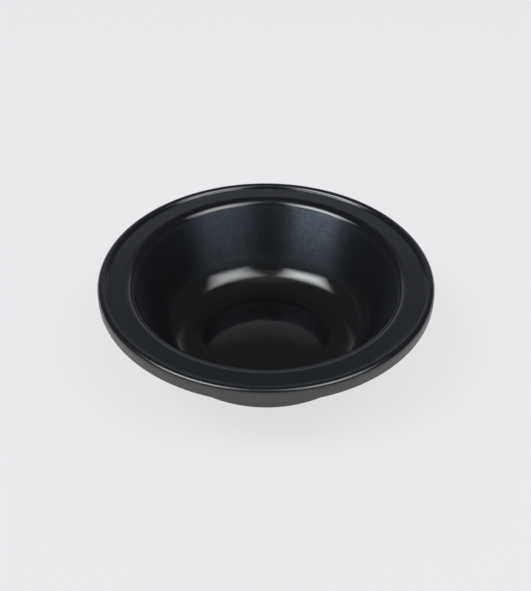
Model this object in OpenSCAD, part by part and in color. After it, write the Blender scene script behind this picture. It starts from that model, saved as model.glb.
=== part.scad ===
// Moulded rubber diaphragm: a shallow cup with a flat clamping flange and a rounded sealing bead.
// The cup stands open side up on the low ring of its floor. Lengths are millimetres,
// angles are degrees, the Z axis is the axis of the cup and z = 0 is the plane it stands on.

/* [Cup] */
// Outer diameter over the bead
outer_d = 178; // [172:1:196]
// Depth of the cup, from the flange face down to the low ring of the floor
cup_depth = 45.1; // [38:0.1:60]
// Thickness of the rubber sheet
sheet_t = 3.2; // [2.4:0.1:4]
// Radius of the edge where the flange turns down into the cup
mouth_r = 7.2; // [5.4:0.1:10]
// Inner radius of the bend between the wall and the floor
floor_r = 22.3; // [15:0.1:24]

/* [Floor] */
// Outer diameter of the flat low ring that the cup stands on
seat_d = 80; // [70:0.5:84]
// Width of that ring
seat_w = 2.5; // [1.5:0.1:5]
// Radius of the shallow dome inside the ring
dome_r = 125; // [90:1:400]
// Radius of the bend between the ring and the dome
dome_bend_r = 12; // [6:0.5:20]

/* [Flange] */
// Width of the flat clamping face, from the mouth edge to the bead
flange_w = 8.3; // [5:0.1:12]

/* [Bead] */
// Height of the bead's crest above the flange face
bead_rise = 1.6; // [0.8:0.1:2.2]
// Steepest slope of the bead's inner flank above the flange
flank_slope = 50; // [30:1:60]
// Radius of the round crest, from the inner flank over to the outer face
crest_r = 2.6; // [1.6:0.1:3]
// Radius between the flange face and the inner flank
flank_root_r = 0.3; // [0.2:0.1:0.8]
// How far the bead reaches below the flange
bead_drop = 3.9; // [2.8:0.1:6]
// Width of the bead at its foot
foot_w = 4.6; // [4:0.1:6]
// Slope of the bead's inner flank below the flange
foot_taper = 25; // [10:1:35]
// Radius between the foot and the outer face
heel_r = 2; // [1:0.1:2.2]
// Radius between the foot and the inner flank
toe_r = 1.2; // [0.5:0.1:1.5]
// Radius between the inner flank and the underside of the flange
root_r = 1.5; // [0.8:0.1:2]

/* [Hidden] */
$fn = 240;
// Furthest that a chord of a rounded edge lies from the true arc
chord_gap = 0.01;
rubber_black = [0.10, 0.105, 0.115];

outer_r = outer_d / 2;
flange_z = cup_depth + sheet_t;
flange_under_z = flange_z - sheet_t;
seat_out_r = seat_d / 2;
seat_in_r = seat_out_r - seat_w;

// A low bead has no straight flank: its root and crest meet before they get as steep as they may
bead_radii = crest_r + flank_root_r;
flank_a = min(flank_slope, acos(1 - bead_rise / bead_radii));
flank_run = bead_radii * sin(flank_a) + (bead_rise - bead_radii * (1 - cos(flank_a))) / tan(flank_a);
crest_c = [outer_r - crest_r, flange_z + bead_rise - crest_r];
flank_root_c = [outer_r - crest_r - flank_run, flange_z + flank_root_r];
mouth_edge_r = flank_root_c[0] - flange_w;

// The wall is the straight line that touches both bends, one on each side of it
mouth_c = [mouth_edge_r, flange_z - mouth_r];
floor_c = [seat_out_r, sheet_t + floor_r];
wall_run = mouth_c - floor_c;
wall_a = atan2(wall_run[1], wall_run[0]) + asin((mouth_r + floor_r) / norm(wall_run));

// The dome and the bend beside it touch where both have the slope dome_a
dome_a = asin(seat_in_r / (dome_r + dome_bend_r));
dome_bend_c = [seat_in_r, sheet_t + dome_bend_r];
dome_c = [0, dome_bend_c[1] - (dome_r + dome_bend_r) * cos(dome_a)];

// Below the flange the bead has a flat foot between two rounded corners
foot_z = flange_under_z - bead_drop;
heel_c = [outer_r - heel_r, foot_z + heel_r];
toe_c = [outer_r - foot_w + toe_r * (1 - sin(foot_taper)) / cos(foot_taper), foot_z + toe_r];
root_run = (root_r + (bead_drop - root_r) * sin(foot_taper)) / cos(foot_taper);
root_c = [outer_r - foot_w - root_run, flange_under_z - root_r];

// Points of an arc about c, from angle a0 to angle a1, both ends included
function arc(c, r, a0, a1) =
    let (step = 2 * acos(1 - chord_gap / r), n = ceil(abs(a1 - a0) / step))
    [for (i = [0:n]) let (a = a0 + (a1 - a0) * i / n) c + r * [cos(a), sin(a)]];

// Upper face of the sheet, from the axis out to the bead
function upper_face() = concat(
    arc(dome_c, dome_r, 90, 90 - dome_a),
    arc(dome_bend_c, dome_bend_r, 270 - dome_a, 270),
    arc(floor_c, floor_r, 270, 270 + wall_a),
    arc(mouth_c, mouth_r, 90 + wall_a, 90)
);

// Lower face of the sheet, from the bead in to the axis, one sheet thickness away
function lower_face() = concat(
    arc(mouth_c, mouth_r - sheet_t, 90, 90 + wall_a),
    arc(floor_c, floor_r + sheet_t, 270 + wall_a, 270),
    arc(dome_bend_c, dome_bend_r + sheet_t, 270, 270 - dome_a),
    arc(dome_c, dome_r - sheet_t, 90 - dome_a, 90)
);

// Bead, from the flange face over the crest and round to the underside of the flange
function bead_face() = concat(
    arc(flank_root_c, flank_root_r, 270, 270 + flank_a),
    arc(crest_c, crest_r, 90 + flank_a, 0),
    arc(heel_c, heel_r, 0, -90),
    arc(toe_c, toe_r, 270, 180 + foot_taper),
    arc(root_c, root_r, foot_taper, 90)
);

// The whole cup is one moulding, so it is one section turned about the axis
module diaphragm() {
    color(rubber_black)
        rotate_extrude()
            polygon(concat(upper_face(), bead_face(), lower_face()));
}

diaphragm();
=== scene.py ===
"""Studio scene of a moulded rubber diaphragm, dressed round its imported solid.

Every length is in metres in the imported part's own frame: Z is the axis of the cup, and z = 0 is the
plane that it stands on. The dressed mesh is the same section as the solid, turned finely, with the
small unevenness, the mould seam and the rubber's skin that the solid leaves out.
"""

import logging
import math
from dataclasses import dataclass, field
from enum import Enum

import bpy
import numpy as np
from mathutils import Matrix, Vector


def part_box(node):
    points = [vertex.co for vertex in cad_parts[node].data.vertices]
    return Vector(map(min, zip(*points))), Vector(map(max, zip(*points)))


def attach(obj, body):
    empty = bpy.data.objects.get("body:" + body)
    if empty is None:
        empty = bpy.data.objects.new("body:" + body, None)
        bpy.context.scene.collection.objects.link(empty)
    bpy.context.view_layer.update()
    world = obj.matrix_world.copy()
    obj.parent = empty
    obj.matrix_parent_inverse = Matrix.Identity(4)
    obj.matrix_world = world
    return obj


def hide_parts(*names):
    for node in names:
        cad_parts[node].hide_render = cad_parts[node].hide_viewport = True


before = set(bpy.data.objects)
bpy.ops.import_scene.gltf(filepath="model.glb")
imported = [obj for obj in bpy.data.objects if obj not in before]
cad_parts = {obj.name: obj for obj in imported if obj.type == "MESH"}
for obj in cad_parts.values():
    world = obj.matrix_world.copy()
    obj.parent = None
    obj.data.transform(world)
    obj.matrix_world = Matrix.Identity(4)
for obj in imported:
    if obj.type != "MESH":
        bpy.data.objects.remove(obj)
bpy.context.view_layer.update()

NODE = "diaphragm"
MM = 0.001
log = logging.getLogger("diaphragm")

Colour = tuple[float, float, float]
# Where something sets in and where it is full
Span = tuple[float, float]
# Radius and height of a point of the section
Spot = tuple[float, float]
# Elevations in degrees and the brightness at each
Bands = tuple[tuple[float, float], ...]
Socket = bpy.types.NodeSocket
# What an input of a node can get
Feed = Socket | float | tuple[float, ...]
RISING: Span = (0.0, 1.0)
FALLING: Span = (1.0, 0.0)


class Face(Enum):
    """The three runs of the section."""

    UPPER = "upper"
    BEAD = "bead"
    LOWER = "lower"


def arc(centre: Spot, radius: float, start: float, end: float, pitch: float) -> np.ndarray:
    """Points of an arc in the plane of the section.

    Args:
        centre: Radius and height of the arc's centre.
        radius: Radius of the arc.
        start: Angle of its first point, in degrees.
        end: Angle of its last point, in degrees.
        pitch: Greatest distance between two points along it.

    Returns:
        One row of radius and height for each point, both ends included.
    """
    steps = max(2, math.ceil(abs(math.radians(end - start)) * radius / pitch))
    angle = np.radians(np.linspace(start, end, steps + 1))
    return np.column_stack((centre[0] + radius * np.cos(angle), centre[1] + radius * np.sin(angle)))


def line(first: np.ndarray, last: np.ndarray, pitch: float) -> np.ndarray:
    """Points of a straight stretch, without its two ends.

    Args:
        first: Radius and height of the point before it.
        last: Radius and height of the point after it.
        pitch: Greatest distance between two points along it.

    Returns:
        One row of radius and height for each inner point.
    """
    steps = max(1, math.ceil(float(np.linalg.norm(last - first)) / pitch))
    share = np.linspace(0.0, 1.0, steps + 1)[1:-1, None]
    return first + (last - first) * share


def slope_between(low: Spot, high: Spot, radii: float) -> float:
    """Slope in degrees of the line that touches a hollow bend about low and a round edge about high."""
    run, rise = high[0] - low[0], high[1] - low[1]
    return math.degrees(math.atan2(rise, run) + math.asin(radii / math.hypot(run, rise)))


@dataclass(frozen=True)
class MouldSeam:
    """The thin line that the joint of the two mould halves leaves on the rim.

    Attributes:
        proud: How far the line stands out.
        width: Width of the line.
        steps: Number of points across it.
    """

    proud: float = 0.04 * MM
    width: float = 0.30 * MM
    steps: int = 7

    def ridge(self, radius: float, height: float) -> np.ndarray:
        """Points of the ridge, from its upper edge to its lower one.

        Args:
            radius: Radius of the face that it stands on.
            height: Height of its middle.

        Returns:
            One row of radius and height for each point.
        """
        share = np.linspace(-1.0, 1.0, self.steps)
        lift = self.proud * 0.5 * (1.0 + np.cos(math.pi * share))
        return np.column_stack((radius + lift, height - share * self.width / 2))


@dataclass(frozen=True)
class SealSection:
    """The section of the diaphragm, which is one sheet from the axis out to the bead and back.

    Attributes:
        outer_r: Radius over the bead.
        crest_z: Height of the bead's crest.
        sheet_t: Thickness of the sheet.
        mouth_edge_r: Distance from the axis at which the clamping face turns down into the cup.
        mouth_r: Radius of that edge.
        floor_r: Inner radius of the bend between the wall and the floor.
        seat_out_r: Outer radius of the low ring that the cup stands on.
        seat_w: Width of that ring.
        dome_r: Radius of the shallow dome inside the ring.
        dome_bend_r: Radius of the bend between the ring and the dome.
        bead_rise: Height of the crest above the clamping face.
        flank_slope: Slope of the bead's inner flank above the clamping face, in degrees.
        crest_r: Radius of the round crest, from that flank over to the outer face.
        flank_root_r: Radius between the clamping face and the flank.
        bead_drop: How far the bead reaches below the flange.
        foot_w: Width of the bead at its foot.
        foot_taper: Slope of the bead's inner flank below the flange, in degrees.
        heel_r: Radius between the foot and the outer face.
        toe_r: Radius between the foot and the inner flank.
        root_r: Radius between the inner flank and the underside of the flange.
        seam: The seam on the outer face.
        wide_pitch: Distance between points on the dome, the wall and the flange.
        pitch: Distance between points on the floor bend.
        fine_pitch: Distance between points on the tight edges.
        face_pitch: Distance between points on the outer face.
        fillet_pitch: Distance between points on the fillet where the clamping face meets the flank.
        hidden: How much wider the points are set on the lower face.
    """

    outer_r: float
    crest_z: float
    sheet_t: float = 3.2 * MM
    mouth_edge_r: float = 75.4 * MM
    mouth_r: float = 7.2 * MM
    floor_r: float = 22.3 * MM
    seat_out_r: float = 40.0 * MM
    seat_w: float = 2.5 * MM
    dome_r: float = 125.0 * MM
    dome_bend_r: float = 12.0 * MM
    bead_rise: float = 1.6 * MM
    flank_slope: float = 50.0
    crest_r: float = 2.6 * MM
    flank_root_r: float = 0.3 * MM
    bead_drop: float = 3.9 * MM
    foot_w: float = 4.6 * MM
    foot_taper: float = 25.0
    heel_r: float = 2.0 * MM
    toe_r: float = 1.2 * MM
    root_r: float = 1.5 * MM
    seam: MouldSeam = field(default_factory=MouldSeam)
    wide_pitch: float = 1.3 * MM
    pitch: float = 0.8 * MM
    fine_pitch: float = 0.25 * MM
    face_pitch: float = 0.5 * MM
    fillet_pitch: float = 0.25 * MM / 3
    hidden: float = 1.5

    @classmethod
    def within(cls, low: Vector, high: Vector) -> "SealSection":
        """Fits the section into the box between two corners, a hair inside it so that the seam fits too."""
        reach = min(high.x, high.y, -low.x, -low.y)
        return cls(outer_r=reach - MouldSeam().proud, crest_z=high.z)

    @property
    def flange_z(self) -> float:
        """Height of the clamping face."""
        return self.crest_z - self.bead_rise

    @property
    def flange_edge_r(self) -> float:
        """Radius where the clamping face meets the bead.

        Returns:
            The radius at which the fillet between the two begins.
        """
        slope = math.radians(self.flank_slope)
        radii = self.crest_r + self.flank_root_r
        straight = self.bead_rise - radii * (1 - math.cos(slope))
        return self.outer_r - self.crest_r - radii * math.sin(slope) - straight / math.tan(slope)

    def sheet_face(self, face: Face) -> np.ndarray:
        """One face of the sheet, from the axis out to the end of the mouth edge.

        Args:
            face: The upper or the lower face.

        Returns:
            One row of radius and height for each point.
        """
        below, wider = (self.sheet_t, self.hidden) if face is Face.LOWER else (0.0, 1.0)
        wide, pitch, fine = self.wide_pitch * wider, self.pitch * wider, self.fine_pitch * wider
        seat_in_r = self.seat_out_r - self.seat_w
        reach = self.dome_r + self.dome_bend_r
        dome_a = math.degrees(math.asin(seat_in_r / reach))
        bend_z = self.sheet_t + self.dome_bend_r
        dome_z = bend_z - reach * math.cos(math.radians(dome_a))
        mouth_c = (self.mouth_edge_r, self.flange_z - self.mouth_r)
        floor_c = (self.seat_out_r, self.sheet_t + self.floor_r)
        wall_a = slope_between(floor_c, mouth_c, self.mouth_r + self.floor_r)
        dome = arc((0.0, dome_z), self.dome_r - below, 90, 90 - dome_a, wide)
        dome_bend = arc((seat_in_r, bend_z), self.dome_bend_r + below, 270 - dome_a, 270, pitch)
        floor_bend = arc(floor_c, self.floor_r + below, 270, 270 + wall_a, pitch)
        mouth = arc(mouth_c, self.mouth_r - below, 90 + wall_a, 90, fine)
        seat = line(dome_bend[-1], floor_bend[0], pitch)
        wall = line(floor_bend[-1], mouth[0], wide)
        return np.vstack((dome, dome_bend[1:], seat, floor_bend, wall, mouth))

    def bead(self) -> np.ndarray:
        """The bead, over its crest and round its foot to the underside of the flange.

        Returns:
            One row of radius and height for each point, from the clamping face outwards.
        """
        fine = self.fine_pitch
        under_z = self.flange_z - self.sheet_t
        foot_z = under_z - self.bead_drop
        foot_r = self.outer_r - self.foot_w
        taper = math.radians(self.foot_taper)
        toe_in = self.toe_r * (1 - math.sin(taper)) / math.cos(taper)
        root_run = (self.root_r + (self.bead_drop - self.root_r) * math.sin(taper)) / math.cos(taper)
        fillet_c = (self.flange_edge_r, self.flange_z + self.flank_root_r)
        crest_c = (self.outer_r - self.crest_r, self.crest_z - self.crest_r)
        heel_c = (self.outer_r - self.heel_r, foot_z + self.heel_r)
        toe_c = (foot_r + toe_in, foot_z + self.toe_r)
        root_c = (foot_r - root_run, under_z - self.root_r)
        fillet = arc(fillet_c, self.flank_root_r, 270, 270 + self.flank_slope, self.fillet_pitch)
        crest = arc(crest_c, self.crest_r, 90 + self.flank_slope, 0, fine)
        heel = arc(heel_c, self.heel_r, 0, -90, fine)
        toe = arc(toe_c, self.toe_r, 270, 180 + self.foot_taper, fine)
        root = arc(root_c, self.root_r, self.foot_taper, 90, fine)
        seam = self.seam.ridge(self.outer_r, heel[0, 1] + self.seam.width)
        flank = line(fillet[-1], crest[0], fine)
        outer_face = line(crest[-1], seam[0], self.face_pitch)
        foot = line(heel[-1], toe[0], fine)
        foot_flank = line(toe[-1], root[0], fine)
        return np.vstack((fillet, flank, crest, outer_face, seam, heel, foot, toe, foot_flank, root))

    def faces(self) -> dict[Face, np.ndarray]:
        """The whole section, from the axis on top, round the bead, to the axis underneath.

        Returns:
            The points of each face, in that order.
        """
        upper = self.sheet_face(Face.UPPER)
        bead = self.bead()
        lower = self.sheet_face(Face.LOWER)[::-1]
        flange = line(upper[-1], bead[0], self.wide_pitch)
        back = line(bead[-1], lower[0], self.wide_pitch)
        return {
            Face.UPPER: np.vstack((upper, flange)),
            Face.BEAD: bead,
            Face.LOWER: np.vstack((back, lower)),
        }


@dataclass(frozen=True)
class MouldWaves:
    """The faint unevenness of a moulding that has left its mould and rests on its own floor.

    Attributes:
        seed: Seed of the random waves.
        count: Number of waves added up.
        height: Height of the waves on the thin sheet.
        shortest: Shortest wave along the sheet.
        longest: Longest wave along the sheet.
        turns: Most waves round one turn.
        stiff_r: Radius at which the sheet turns into the stiff flange.
        fade: Distance inside that radius over which the waves die away.
        left: Share of them that is left on the flange and the bead.
        calm_r: Radius inside which they die away towards the axis, where all turns meet.
    """

    seed: int = 11
    count: int = 14
    height: float = 0.035 * MM
    shortest: float = 14.0 * MM
    longest: float = 60.0 * MM
    turns: int = 7
    stiff_r: float = 75.4 * MM
    fade: float = 30.0 * MM
    left: float = 0.12
    calm_r: float = 16.0 * MM

    def at(self, azimuth: np.ndarray, along: np.ndarray, radius: np.ndarray) -> np.ndarray:
        """Height of the unevenness above the true section.

        Args:
            azimuth: Angle round the axis of each point, in radians.
            along: Distance along the sheet from the axis to each point.
            radius: Distance of each point from the axis.

        Returns:
            The height for each point, which is the same on both faces of the sheet.
        """
        rng = np.random.default_rng(self.seed)
        total = np.zeros(np.broadcast(azimuth, along).shape)
        for _ in range(self.count):
            wave = rng.uniform(self.shortest, self.longest)
            turns = int(rng.integers(0, self.turns + 1))
            phase = rng.uniform(0.0, 2 * math.pi)
            total += np.cos(2 * math.pi * along / wave + turns * azimuth + phase)
        share = np.clip((self.stiff_r - radius) / self.fade, self.left, 1.0)
        calm = np.clip(radius / self.calm_r, 0.0, 1.0)
        share = share * calm * calm * (3.0 - 2.0 * calm)
        return total * share * self.height / math.sqrt(self.count / 2)


def placed(name: str, data: bpy.types.ID) -> bpy.types.Object:
    """Puts a mesh, a light or a camera into the scene.

    Args:
        name: Name of the new object.
        data: What it shows.

    Returns:
        The new object.
    """
    made = bpy.data.objects.new(name, data)
    bpy.context.scene.collection.objects.link(made)
    return made


class Way(Enum):
    """How a ramp goes from its start to its end."""

    EASED = "SMOOTHSTEP"
    STRAIGHT = "LINEAR"


class Graph:
    """The nodes of a material or of the world, with short ways to add the ones that are needed."""

    def __init__(self, owner: bpy.types.Material | bpy.types.World) -> None:
        """Empties the node tree.

        Args:
            owner: The material or the world.
        """
        owner.use_nodes = True
        self.tree = owner.node_tree
        self.tree.nodes.clear()

    def add(self, kind: str, feeds: dict[str | int, Feed] | None = None, **settings: str) -> bpy.types.Node:
        """Adds a node.

        Args:
            kind: Blender's name of the node.
            feeds: What each named or numbered input gets, a plain value or a socket to link.
            settings: Properties to set on it first.

        Returns:
            The new node.
        """
        node = self.tree.nodes.new(kind)
        for name, value in settings.items():
            setattr(node, name, value)
        for name, value in (feeds or {}).items():
            target = node.inputs[name]
            if isinstance(value, Socket):
                self.tree.links.new(value, target)
            elif isinstance(target, bpy.types.NodeSocketColor):
                target.default_value = (*value, 1.0)
            else:
                target.default_value = value
        return node

    def split(self, vector: Socket) -> tuple[Socket, ...]:
        """Splits a vector into the sockets of its X, Y and Z."""
        node = self.add("ShaderNodeSeparateXYZ", {"Vector": vector})
        return tuple(node.outputs[name] for name in "XYZ")

    def maths(self, operation: str, first: Feed, second: Feed = 0.0) -> Socket:
        """Gives the outcome of a named operation on one or two values."""
        return self.add("ShaderNodeMath", {0: first, 1: second}, operation=operation).outputs["Value"]

    def product(self, first: Feed, *others: Feed) -> Socket:
        """Multiplies values.

        Args:
            first: The first value or socket.
            others: The other values or sockets.

        Returns:
            The socket with the product.
        """
        for other in others:
            first = self.maths("MULTIPLY", first, other)
        return first

    def ramp(self, value: Socket, source: Span, target: Span = RISING, way: Way = Way.EASED) -> Socket:
        """Maps a value from one range to another, and holds it at the ends.

        Args:
            value: The socket to map.
            source: Its lowest and highest value.
            target: What those two become.
            way: How it goes from the one to the other.

        Returns:
            The socket with the mapped value.
        """
        names = ("Value", "From Min", "From Max", "To Min", "To Max")
        feeds = dict(zip(names, (value, *source, *target)))
        return self.add("ShaderNodeMapRange", feeds, interpolation_type=way.value).outputs["Result"]

    def mixed(self, share: Socket, first: Feed, second: Feed) -> Socket:
        """Mixes two colours by the second one's share."""
        feeds = {"Factor": share, "A": first, "B": second}
        return self.add("ShaderNodeMix", feeds, data_type="RGBA").outputs["Result"]

    def blend(self, share: Socket, first: Socket, second: Socket) -> Socket:
        """Lays the second skin over the first, by the second one's share."""
        return self.add("ShaderNodeMixShader", {0: share, 1: first, 2: second}).outputs["Shader"]

    def noise(self, place: Socket, size: float, layers: float) -> Socket:
        """Makes clouds of one size with some finer layers, whose value is about 0.5 on average."""
        feeds = {"Vector": place, "Scale": 1.0 / size, "Detail": layers}
        return self.add("ShaderNodeTexNoise", feeds).outputs["Fac"]

    def show(self, kind: str, surface: Socket) -> None:
        """Shows a shader as the surface, through the named kind of output."""
        self.add(kind, {"Surface": surface})


class CupGraph(Graph):
    """The nodes of a material that knows where on the cup each point is.

    Attributes:
        place: Socket with the point's place.
        across: Socket with its X.
        ahead: Socket with its Y.
        height: Socket with its height.
        radius: Socket with its distance from the axis.
        upward: Socket with how far the surface faces up there, from -1 to 1.
    """

    def __init__(self, owner: bpy.types.Material) -> None:
        """Empties the node tree and adds the nodes that tell the place.

        Args:
            owner: The material.
        """
        super().__init__(owner)
        origin = self.add("ShaderNodeTexCoord")
        self.place = origin.outputs["Object"]
        self.across, self.ahead, self.height = self.split(self.place)
        squares = (self.maths("POWER", side, 2.0) for side in (self.across, self.ahead))
        self.radius = self.maths("SQRT", self.maths("ADD", *squares))
        self.upward = self.split(origin.outputs["Normal"])[2]


@dataclass(frozen=True)
class Skin:
    """How one kind of the rubber's skin shines.

    Attributes:
        roughness: How rough it is.
        level: Strength of its reflection, where 0.5 is that of its index of refraction.
        tint: Colour of its reflection.
        turned: How much more it scatters across its turning marks than along them.
        lean: How far the flanks of those marks face up, as a share of the surface's own normal.
        rotation: How far its scatter is turned to lie across the marks, in full turns.
    """

    roughness: float
    level: float
    tint: Colour = (1.0, 1.0, 1.0)
    turned: float = 0.0
    lean: float = 0.0
    rotation: float = 0.25

    def shader(self, graph: Graph, colour: Socket, swing: Socket, normal: Socket) -> Socket:
        """Adds the skin's shader.

        Args:
            graph: The material's nodes.
            colour: Colour of the rubber.
            swing: How far the roughness strays from the skin's own.
            normal: The surface's normal with its fine relief.

        Returns:
            The shader's socket.
        """
        feeds = {
            "Base Color": colour,
            "Roughness": graph.maths("ADD", swing, self.roughness),
            "Specular IOR Level": self.level,
            "Specular Tint": self.tint,
            "Normal": normal,
        }
        if self.turned:
            feeds |= self._marks(graph, normal)
        return graph.add("ShaderNodeBsdfPrincipled", feeds).outputs["BSDF"]

    def _marks(self, graph: Graph, normal: Socket) -> dict[str, Feed]:
        """Works out what the turning marks change.

        Args:
            graph: The material's nodes.
            normal: The surface's normal with its fine relief.

        Returns:
            What the shader's inputs get instead.
        """
        raised = graph.add("ShaderNodeVectorMath", {0: normal, 1: (0.0, 0.0, self.lean)}, operation="ADD")
        leaned = graph.add("ShaderNodeVectorMath", {0: raised.outputs["Vector"]}, operation="NORMALIZE")
        tangent = graph.add("ShaderNodeTangent", direction_type="RADIAL", axis="Z")
        return {
            "Normal": leaned.outputs["Vector"],
            "Tangent": tangent.outputs["Tangent"],
            "Anisotropic": self.turned,
            "Anisotropic Rotation": self.rotation,
        }


@dataclass(frozen=True)
class Grain:
    """The small unevenness of the rubber's skin.

    Attributes:
        mottle_size: Size of the mottling of the wall.
        mottle_noise: Values of its noise between which it changes.
        mottle_share: The share of the wall's painted highlight and turning marks at those two.
        swing_size: Size of the clouds in which the roughness strays.
        swing_noise: Values of their noise between which it changes.
        swing: How far the roughness strays.
        peel_size: Size of the fine orange peel.
        peel_height: Height of the fine orange peel.
        layers: How many finer layers the mottling and the peel have.
        swing_layers: The same for the roughness.
    """

    mottle_size: float = 2.4 * MM
    mottle_noise: Span = (0.25, 0.75)
    mottle_share: Span = (0.8, 1.2)
    swing_size: float = 4.8 * MM
    swing_noise: Span = (0.3, 0.7)
    swing: float = 0.02
    peel_size: float = 3.0 * MM
    peel_height: float = 0.004 * MM
    layers: float = 3.0
    swing_layers: float = 4.0

    def mottling(self, graph: CupGraph) -> Socket:
        """Makes the wall a little blotchy, as a value to multiply a share by."""
        cloud = graph.noise(graph.place, self.mottle_size, self.layers)
        return graph.ramp(cloud, self.mottle_noise, self.mottle_share)

    def straying(self, graph: CupGraph) -> Socket:
        """Makes the roughness a little uneven, as a value to add to a skin's own."""
        cloud = graph.noise(graph.place, self.swing_size, self.swing_layers)
        return graph.ramp(cloud, self.swing_noise, (-self.swing, self.swing))

    def peel(self, graph: CupGraph) -> Socket:
        """Adds the fine orange peel.

        Args:
            graph: The material's nodes.

        Returns:
            The socket with the normal.
        """
        height = graph.noise(graph.place, self.peel_size, self.layers)
        feeds = {"Strength": 1.0, "Distance": self.peel_height, "Height": height}
        return graph.add("ShaderNodeBump", feeds).outputs["Normal"]


class Zone(Enum):
    """The places of the diaphragm that have a colour or a skin of their own.

    Attributes:
        RING: The dull ring of the floor, over the ring that the cup stands on.
        WORN: The wall, where the polish has gone.
        MARKS: The turning marks on the wall.
        BLOOM: The thin bloom on the wall.
        PATCH: The streak of the wall that holds a painted highlight, the left softbox's sheen as colour.
        FLANGE: The flange, with the bead, whose colour holds a painted blue cast of cool reflected light.
        BEAD: The bead alone.
        RIM: The trimmed outer face.
        UNDERSIDE: Everything that faces down.
    """

    RING = "ring"
    WORN = "worn wall"
    MARKS = "marks"
    BLOOM = "bloom"
    # Painted highlight: the streak of softbox sheen on the wall.
    PATCH = "patch"
    FLANGE = "flange"
    BEAD = "bead"
    RIM = "rim"
    UNDERSIDE = "underside"


@dataclass(frozen=True)
class Zones:
    """Where each zone of the rubber lies.

    Most zones have a span of heights or radii over which they set in, from nothing to their full share.

    Attributes:
        ring_in_r: Radii over which the dull ring sets in.
        ring_out_r: Radii over which it ends.
        ring_share: Its full share.
        worn_z: Heights over which the worn wall sets in.
        marks_z: Heights over which the turning marks grow to their full share.
        marks_r: Radii over which they set in, on the floor bend.
        marks_share: Their full share.
        bloom_z: Heights over which the thin bloom sets in.
        painted_highlight_z: Heights over which the painted highlight sets in.
        painted_highlight_azimuth: Where the painted highlight is, in degrees from +X.
        painted_highlight_spread: Half the angle that it fills, in degrees.
        cup_end_r: Radii over which all that is on the wall ends, on the mouth edge.
        flange_r: Radii over which the flange sets in.
        bead_r: Radii over which the bead sets in.
        rim_r: Radii over which the trimmed face sets in.
        facing_down: Upward shares of the normal over which the underside ends.
    """

    ring_in_r: Span = (34.0 * MM, 36.5 * MM)
    ring_out_r: Span = (44.5 * MM, 48.5 * MM)
    ring_share: float = 0.72
    worn_z: Span = (8.0 * MM, 17.0 * MM)
    marks_z: Span = (-12.0 * MM, 42.0 * MM)
    marks_r: Span = (43.0 * MM, 51.0 * MM)
    marks_share: float = 0.42
    bloom_z: Span = (5.0 * MM, 14.0 * MM)
    # Where the painted highlight, the left softbox's sheen as colour, lies on the wall.
    painted_highlight_z: Span = (14.0 * MM, 44.0 * MM)
    painted_highlight_azimuth: float = 65.0
    painted_highlight_spread: float = 15.0
    cup_end_r: Span = (69.4 * MM, 70.4 * MM)
    flange_r: Span = (72.5 * MM, 75.0 * MM)
    bead_r: Span = (84.2 * MM, 85.2 * MM)
    rim_r: Span = (88.3 * MM, 88.6 * MM)
    facing_down: Span = (-0.35, -0.15)

    def shares(self, graph: CupGraph, mottling: Socket) -> dict[Zone, Socket]:
        """Works out how much of each zone there is at a point.

        Args:
            graph: The material's nodes.
            mottling: What the turning marks and the painted highlight are multiplied by.

        Returns:
            The socket with the share of each zone.
        """
        height, radius = graph.height, graph.radius
        inside = graph.ramp(radius, self.cup_end_r, FALLING)
        blotchy = graph.product(inside, mottling)
        marks = graph.ramp(height, self.marks_z, (0.0, self.marks_share), Way.STRAIGHT)
        ring = graph.ramp(radius, self.ring_in_r, (0.0, self.ring_share))
        return {
            Zone.RING: graph.product(ring, graph.ramp(radius, self.ring_out_r, FALLING)),
            Zone.WORN: graph.product(graph.ramp(height, self.worn_z), inside),
            Zone.MARKS: graph.product(marks, blotchy, graph.ramp(radius, self.marks_r)),
            Zone.BLOOM: graph.product(graph.ramp(height, self.bloom_z), inside),
            # Share of the painted highlight, mottled.
            Zone.PATCH: graph.product(self._painted_highlight(graph), blotchy),
            Zone.FLANGE: graph.ramp(radius, self.flange_r),
            Zone.BEAD: graph.ramp(radius, self.bead_r),
            Zone.RIM: graph.ramp(radius, self.rim_r),
            Zone.UNDERSIDE: graph.ramp(graph.upward, self.facing_down, FALLING),
        }

    def _painted_highlight(self, graph: CupGraph) -> Socket:
        """Works out where the painted highlight lies, a streak of painted sheen down the wall.

        Args:
            graph: The material's nodes.

        Returns:
            The socket with the painted highlight's share.
        """
        towards = math.radians(self.painted_highlight_azimuth)
        ways = ((graph.across, math.cos(towards)), (graph.ahead, math.sin(towards)))
        side = graph.maths("ADD", *(graph.product(length, share) for length, share in ways))
        facing = graph.maths("DIVIDE", side, graph.radius)
        near = graph.ramp(facing, (math.cos(math.radians(self.painted_highlight_spread)), 1.0))
        return graph.product(near, graph.ramp(graph.height, self.painted_highlight_z))


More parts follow.
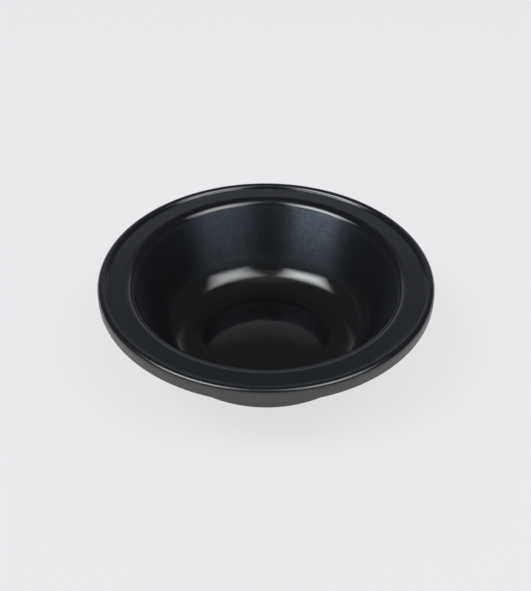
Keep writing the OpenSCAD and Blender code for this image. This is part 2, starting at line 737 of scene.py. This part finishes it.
@dataclass(frozen=True)
class BlackRubber:
    """Carbon black rubber, as its polished mould left it.

    The mould's polish shows on the flange, the mouth edge and the floor, and a little less on the bead.
    The floor is dull over the ring that the cup stands on. The cup's wall is worn, keeps the fine turning
    marks of the mould and has a thin bloom. One streak of the wall carries a painted highlight, the left
    softbox's bluish sheen laid into the colour. The flange's colour carries a painted blue cast of cool
    reflected light. The outer face of the rim is dull where the moulding was trimmed, and the underside
    is dull all over.

    Attributes:
        colour: Colour of the rubber itself.
        bloom_colour: Its colour on the wall, where a thin bloom has come to the surface.
        painted_highlight_colour: A painted highlight, a bluish colour in one streak of the wall that stands
        in for the sheen of the left softbox.
        flange_painted_cool_colour: Its colour on the flange and the bead, the rubber's own with a painted
        blue cast that stands in for the cool light that they reflect.
        rim_colour: Its colour on the trimmed face.
        under_colour: Its colour on everything that faces down.
        polished: The skin nearly everywhere.
        marked: The skin of the turning marks.
        trimmed: The skin of the trimmed face.
        dull: The skin of the underside, of the wall between its marks and of the ring on the floor.
        soft: The skin of the bead.
        zones: Where each colour and skin lies.
        grain: The small unevenness.
    """

    colour: Colour = (0.0035, 0.0036, 0.0040)
    bloom_colour: Colour = (0.0056, 0.0060, 0.0067)
    # Painted highlight: the left softbox's bluish sheen on the wall, laid in as colour.
    painted_highlight_colour: Colour = (0.0300, 0.0370, 0.0450)
    # The rubber's colour with a painted blue cast of cool reflected light.
    flange_painted_cool_colour: Colour = (0.0031, 0.0041, 0.0054)
    rim_colour: Colour = (0.0260, 0.0257, 0.0252)
    under_colour: Colour = (0.0730, 0.0722, 0.0710)
    polished: Skin = Skin(0.12, 0.5)
    marked: Skin = Skin(0.45, 1.0, tint=(0.66, 0.81, 1.0), turned=1.0, lean=0.7)
    trimmed: Skin = Skin(0.38, 0.75)
    dull: Skin = Skin(0.6, 0.10)
    soft: Skin = Skin(0.22, 0.5)
    zones: Zones = Zones()
    grain: Grain = Grain()

    def material(self) -> bpy.types.Material:
        """Builds the material.

        Returns:
            The finished material, all of it procedural.
        """
        made = bpy.data.materials.new("black_rubber")
        graph = CupGraph(made)
        shares = self.zones.shares(graph, self.grain.mottling(graph))
        surface = self._surface(graph, shares, self._colour(graph, shares))
        graph.show("ShaderNodeOutputMaterial", surface)
        return made

    def _colour(self, graph: Graph, shares: dict[Zone, Socket]) -> Socket:
        """Lays the colours over each other.

        Args:
            graph: The material's nodes.
            shares: The share of each zone.

        Returns:
            The socket with the rubber's colour.
        """
        colour = self.colour
        layers = (
            (Zone.BLOOM, self.bloom_colour),
            # Painted highlight: the streak of softbox sheen down the wall.
            (Zone.PATCH, self.painted_highlight_colour),
            # Painted blue cast of cool reflected light on the flange and the bead.
            (Zone.FLANGE, self.flange_painted_cool_colour),
            (Zone.RIM, self.rim_colour),
            (Zone.UNDERSIDE, self.under_colour),
        )
        for zone, over in layers:
            colour = graph.mixed(shares[zone], colour, over)
        return colour

    def _surface(self, graph: CupGraph, shares: dict[Zone, Socket], colour: Socket) -> Socket:
        """Lays the skins over each other.

        Args:
            graph: The material's nodes.
            shares: The share of each zone.
            colour: The rubber's colour.

        Returns:
            The socket of the whole surface.
        """
        swing, normal = self.grain.straying(graph), self.grain.peel(graph)
        skins = (self.polished, self.marked, self.trimmed, self.dull, self.soft)
        surface, marked, trimmed, dull, soft = (skin.shader(graph, colour, swing, normal) for skin in skins)
        layers = (
            (Zone.RING, dull),
            (Zone.WORN, graph.blend(shares[Zone.MARKS], dull, marked)),
            (Zone.BEAD, soft),
            (Zone.RIM, trimmed),
            (Zone.UNDERSIDE, dull),
        )
        for zone, over in layers:
            surface = graph.blend(shares[zone], surface, over)
        return surface


@dataclass
class Diaphragm:
    """The one moulding: its section turned about the axis, in its rubber.

    Attributes:
        section: The section that is turned.
        waves: The unevenness of the sheet.
        rubber: The finish.
        segments: Number of steps round one turn.
        body: The body that it rides on.
    """

    section: SealSection
    waves: MouldWaves = field(default_factory=MouldWaves)
    rubber: BlackRubber = field(default_factory=BlackRubber)
    segments: int = 312
    body: str = "root"

    def build(self) -> bpy.types.Object:
        """Builds the closed mesh.

        Returns:
            The new object, which rides on its body in place of the plain solid.
        """
        outline, normals, along = self._outline()
        azimuth = np.linspace(0.0, 2 * math.pi, self.segments, endpoint=False)[None, :]
        lift = self.waves.at(azimuth, along[:, None], outline[:, :1])
        radius = outline[:, :1] + normals[:, :1] * lift
        height = np.clip(outline[:, 1:] + normals[:, 1:] * lift, 0.0, self.section.crest_z)
        points = np.stack((radius * np.cos(azimuth), radius * np.sin(azimuth), height), axis=-1)
        made = placed("diaphragm_rubber", self._mesh(points))
        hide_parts(NODE)
        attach(made, self.body)
        return made

    def _outline(self) -> tuple[np.ndarray, np.ndarray, np.ndarray]:
        """Joins the faces of the section into one outline.

        Returns:
            Radius and height of each point, the way in which the unevenness moves it, and its distance
            along the sheet from the axis.
        """
        faces = self.section.faces()
        outline = np.vstack(list(faces.values()))
        side = np.repeat(list(faces), [len(points) for points in faces.values()])
        lower = side == Face.LOWER
        level = np.array([[MM, 0.0]])
        way = np.vstack((outline[1:], outline[-1:] - level)) - np.vstack((outline[:1] - level, outline[:-1]))
        normals = np.column_stack((-way[:, 1], way[:, 0]))
        normals /= np.linalg.norm(normals, axis=1)[:, None]
        normals[lower] *= -1.0
        normals[side == Face.BEAD] = (0.0, 1.0)
        along = np.concatenate(([0.0], np.cumsum(np.linalg.norm(np.diff(outline, axis=0), axis=1))))
        along[lower] = along[-1] - along[lower]
        return outline, normals, along

    def _mesh(self, points: np.ndarray) -> bpy.types.Mesh:
        """Makes the mesh of the turned rings, with one point at each end of the axis.

        Args:
            points: The points, by ring and by step round the turn.

        Returns:
            The closed mesh, smooth shaded.
        """
        rings, count = points.shape[0] - 2, points.shape[1]
        apex, foot = points[0].mean(0), points[-1].mean(0)
        verts = np.vstack((points[1:-1].reshape(-1, 3), apex, foot))
        step = np.arange(count)
        after = (step + 1) % count
        near = np.arange(rings - 1)[:, None] * count
        quads = np.stack((near + step, near + count + step, near + count + after, near + after), axis=-1)
        last = (rings - 1) * count
        faces = [tuple(quad) for quad in quads.reshape(-1, 4).tolist()]
        faces += [(rings * count, int(i), int(j)) for i, j in zip(step, after)]
        faces += [(rings * count + 1, int(last + j), int(last + i)) for i, j in zip(step, after)]
        mesh = bpy.data.meshes.new("diaphragm_rubber")
        mesh.from_pydata(verts.tolist(), [], faces)
        mesh.validate()
        mesh.shade_smooth()
        return mesh

    def dress(self, made: bpy.types.Object) -> None:
        """Gives the piece its rubber."""
        made.data.materials.append(self.rubber.material())


@dataclass(frozen=True)
class LightTable:
    """The plain pale table top that the diaphragm stands on, lit softly from below.

    Attributes:
        reach: Radius of the table top.
        glow: The light that comes through it.
        colour: Colour of its matt surface.
        segments: Number of sides of its round edge.
    """

    reach: float = 3.0
    glow: Colour = (0.716, 0.710, 0.730)
    colour: Colour = (0.085, 0.0845, 0.086)
    segments: int = 96

    def build(self) -> bpy.types.Object:
        """Builds the table top.

        Returns:
            The new object, which is not part of the diaphragm.
        """
        turn = np.linspace(0.0, 2 * math.pi, self.segments, endpoint=False)
        verts = [(self.reach * math.cos(a), self.reach * math.sin(a), 0.0) for a in turn]
        mesh = bpy.data.meshes.new("table_top")
        mesh.from_pydata(verts, [], [tuple(range(self.segments))])
        made = placed("table_top", mesh)
        return made

    def dress(self, made: bpy.types.Object) -> None:
        """Gives the table top its matt pale surface and its light.

        Args:
            made: The object to dress.
        """
        material = bpy.data.materials.new("lit_table")
        graph = Graph(material)
        matt = graph.add("ShaderNodeBsdfDiffuse", {"Color": self.colour})
        light = graph.add("ShaderNodeEmission", {"Color": self.glow})
        both = graph.add("ShaderNodeAddShader", {0: matt.outputs["BSDF"], 1: light.outputs["Emission"]})
        graph.show("ShaderNodeOutputMaterial", both.outputs["Shader"])
        made.data.materials.append(material)


class Side(Enum):
    """Which side of the camera a softbox stands on."""

    LEFT = "left"
    RIGHT = "right"


@dataclass(frozen=True)
class Softbox:
    """One softbox that looks at the middle of the part, brightest in its own middle.

    It is made of panes of light of one shape, each a little larger than the one in front of it.

    Attributes:
        side: The side that it stands on.
        azimuth: Its direction from the part, in degrees from +X.
        elevation: Its height above the table, in degrees.
        width: The angle that it fills across as seen from the part, in degrees.
        height: The angle that it fills along its other side, in degrees.
        spin: How far it is turned about its own axis, in degrees.
        glow: Its brightness in the middle.
        distance: Its distance from the part.
        fade: How much wider its outermost pane is than its smallest, in degrees.
        panes: Number of panes.
        gap: Distance between two panes.
        colour: The colour of its light.
    """

    side: Side
    azimuth: float
    elevation: float
    width: float
    height: float
    spin: float
    glow: float
    distance: float
    fade: float = 28.0
    panes: int = 6
    gap: float = 0.01
    colour: Colour = (0.96, 0.985, 1.0)

    def build(self, target: Vector) -> list[bpy.types.Object]:
        """Builds the softbox.

        Args:
            target: The point that it looks at.

        Returns:
            The lights of its panes, from the smallest to the largest.
        """
        turn, rise = math.radians(self.azimuth), math.radians(self.elevation)
        way = Vector((math.cos(turn) * math.cos(rise), math.sin(turn) * math.cos(rise), math.sin(rise)))
        level = Vector((-math.sin(turn), math.cos(turn), 0.0))
        upright = way.cross(level)
        turned = Matrix.Rotation(math.radians(self.spin), 4, "Z")
        facing = Matrix((level, upright, way)).transposed().to_4x4() @ turned
        made = []
        for number in range(self.panes):
            wider = self.fade * ((number + 0.5) / self.panes - 0.5)
            far = self.distance + number * self.gap
            spans = (math.radians(span + wider) for span in (self.width, self.height))
            across, along = (2 * far * math.tan(span / 2) for span in spans)
            lamp = bpy.data.lights.new(f"softbox_{self.side.value}_{number + 1}", "AREA")
            lamp.shape = "RECTANGLE"
            lamp.size, lamp.size_y = across, along
            lamp.color = self.colour
            lamp.energy = self.glow / self.panes * math.pi * across * along
            pane = placed(lamp.name, lamp)
            pane.matrix_world = Matrix.Translation(target + way * far) @ facing
            made.append(pane)
        return made


SOFTBOXES = (
    Softbox(
        side=Side.LEFT,
        azimuth=-150.5,
        elevation=55.4,
        width=29.0,
        height=19.4,
        spin=34.4,
        glow=14.2,
        distance=4.0,
    ),
    Softbox(
        side=Side.RIGHT,
        azimuth=-35.0,
        elevation=58.8,
        width=27.8,
        height=27.0,
        spin=-23.0,
        glow=8.2,
        distance=2.4,
    ),
)


@dataclass(frozen=True)
class StudioRoom:
    """The room round the table: pale at the table's height, dim above, dimmest behind the camera.

    A pale wall stands straight behind the part, above the dim band.

    Attributes:
        behind_part: Elevation in degrees and brightness of the room beyond the part, from the lowest up.
        behind_camera: The same on the camera's side.
        behind_wall: The same straight behind the part, where the pale wall stands.
        low_tint: Colour of the room near the table's height.
        high_tint: Its colour above that.
        tint_change: Elevation in degrees at which the one colour ends and the other begins.
        part_side: How far round from the side the half beyond the part begins and is full, as a sine.
        wall_side: How far round from the side the pale wall begins and is full, as a sine.
    """

    behind_part: Bands = (
        (-90.0, 0.83),
        (2.0, 0.83),
        (4.5, 0.14),
        (52.0, 0.12),
        (75.0, 0.14),
        (90.0, 0.45),
    )
    behind_camera: Bands = (
        (-90.0, 0.83),
        (7.0, 0.83),
        (11.0, 0.15),
        (30.0, 0.08),
        (50.0, 0.08),
        (56.0, 0.10),
        (63.0, 0.42),
        (90.0, 0.45),
    )
    behind_wall: Bands = (
        (-90.0, 0.83),
        (2.0, 0.83),
        (4.5, 0.14),
        (20.0, 0.14),
        (23.0, 1.00),
        (27.5, 0.90),
        (30.0, 0.44),
        (33.0, 0.45),
        (38.0, 0.32),
        (43.0, 0.25),
        (48.0, 0.13),
        (52.0, 0.12),
        (75.0, 0.14),
        (90.0, 0.45),
    )
    low_tint: Colour = (0.965, 0.975, 1.0)
    high_tint: Colour = (0.90, 0.935, 1.0)
    tint_change: float = 10.0
    part_side: Span = (-0.3, 0.3)
    wall_side: Span = (0.84, 0.90)

    def build(self) -> bpy.types.World:
        """Builds the room's light.

        Returns:
            The new world.
        """
        world = bpy.data.worlds.new("studio_room")
        bpy.context.scene.world = world
        graph = Graph(world)
        _, ahead, up = graph.split(graph.add("ShaderNodeTexCoord").outputs["Generated"])
        tilt = graph.maths("ARCSINE", up)
        share = graph.ramp(tilt, (-math.pi / 2, math.pi / 2), way=Way.STRAIGHT)
        facing = graph.maths("DIVIDE", ahead, graph.maths("COSINE", tilt))
        room = self._bands(graph, share, self.behind_camera)
        for side, bands in ((self.part_side, self.behind_part), (self.wall_side, self.behind_wall)):
            room = graph.mixed(graph.ramp(facing, side), room, self._bands(graph, share, bands))
        glow = graph.add("ShaderNodeBackground", {"Color": room})
        graph.show("ShaderNodeOutputWorld", glow.outputs["Background"])
        return world

    def _bands(self, graph: Graph, share: Socket, bands: Bands) -> Socket:
        """Adds the ramp of brightness from the lowest direction to the highest.

        Args:
            graph: The world's nodes.
            share: The socket with the elevation, as a share of the way from straight down to straight up.
            bands: Elevation in degrees and brightness, from the lowest up.

        Returns:
            The socket with the colour.
        """
        ramp = graph.add("ShaderNodeValToRGB", {"Fac": share})
        stops = ramp.color_ramp.elements
        while len(stops) < len(bands):
            stops.new(0.5)
        for stop, (elevation, _) in zip(stops, bands):
            stop.position = (elevation + 90.0) / 180.0
        for stop, (elevation, light) in zip(stops, bands):
            tint = self.low_tint if elevation < self.tint_change else self.high_tint
            stop.color = (*(light * part for part in tint), 1.0)
        return ramp.outputs["Color"]


@dataclass(frozen=True)
class StudioCamera:
    """The camera, where the photograph was taken from.

    Attributes:
        place: Where it stands.
        down: How far it looks down, in radians.
        roll: How far it is turned about its own axis, in radians.
        focal_px: Its focal length in pixels of the photograph.
        tall_px: Height of the photograph in pixels, its long side.
        sensor: Width of the sensor along the long side, in millimetres.
        near: Distance at which its view begins.
        far: Distance at which its view ends.
    """

    place: tuple[float, float, float] = (-0.00026, -0.3976, 0.36002)
    down: float = 0.68678
    roll: float = 0.0046
    focal_px: float = 950.0
    tall_px: float = 591.0
    sensor: float = 36.0
    near: float = 0.01
    far: float = 50.0

    def build(self) -> bpy.types.Object:
        """Builds the camera and makes it the scene's.

        Returns:
            The new camera.
        """
        lens = bpy.data.cameras.new("studio_camera")
        lens.sensor_width = self.sensor
        lens.lens = self.focal_px / self.tall_px * self.sensor
        lens.clip_start = self.near
        lens.clip_end = self.far
        made = placed("studio_camera", lens)
        turned = Matrix.Rotation(math.pi / 2 - self.down, 4, "X") @ Matrix.Rotation(self.roll, 4, "Z")
        made.matrix_world = Matrix.Translation(self.place) @ turned
        bpy.context.scene.camera = made
        return made


def main() -> None:
    """Builds the part, its table and the studio round it."""
    logging.basicConfig(level=logging.INFO, format="%(name)s: %(message)s")
    low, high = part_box(NODE)
    seal = Diaphragm(SealSection.within(low, high))
    rubber = seal.build()
    seal.dress(rubber)
    triangles = sum(len(face.vertices) - 2 for face in rubber.data.polygons)
    log.info("diaphragm: %d points, %d triangles", len(rubber.data.vertices), triangles)
    table = LightTable()
    table.dress(table.build())
    log.info("table top: reach %.2f m", table.reach)
    middle = Vector((0.0, 0.0, (low.z + high.z) / 2))
    for box in SOFTBOXES:
        panes = box.build(middle)
        log.info("softbox on the %s: %d panes, brightness %.1f", box.side.value, len(panes), box.glow)
    log.info("room: %s", StudioRoom().build().name)
    camera = StudioCamera().build()
    log.info("camera: lens %.1f mm", camera.data.lens)
    bpy.context.scene.view_settings.view_transform = "Standard"


if __name__ == "__main__":
    main()
